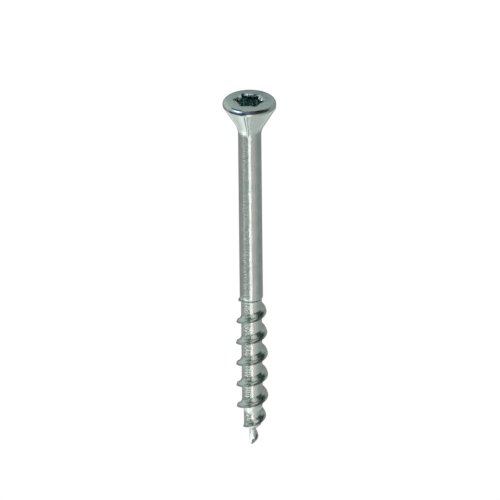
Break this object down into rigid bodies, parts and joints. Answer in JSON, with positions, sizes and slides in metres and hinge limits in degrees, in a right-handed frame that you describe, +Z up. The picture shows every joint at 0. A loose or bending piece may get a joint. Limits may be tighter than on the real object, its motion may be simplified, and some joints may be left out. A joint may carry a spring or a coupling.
{
  "type": "chipboard screw",
  "caption": "Countersunk chipboard screw with a star-shaped drive recess, milling ribs under the head, a plain shank, a coarse right-hand thread and a slant-cut point.",
  "frame": {"origin": "centre of the bounding box's footprint, on the surface that the screw lies on", "axes": "+X along the screw towards its point, +Y across it, +Z up; the screw lies on its side, on the rim of its head and a crest of its thread, so its axis dips 1.93 degrees towards the point"},
  "size_m": [0.06, 0.0084, 0.0083],
  "materials": {
    "zinc_plated_steel": "bright zinc plate, smooth on the head and shank, rougher between the threads"
  },
  "bodies": {
    "root": {"screw": "zinc_plated_steel"}
  },
  "joints": []
}
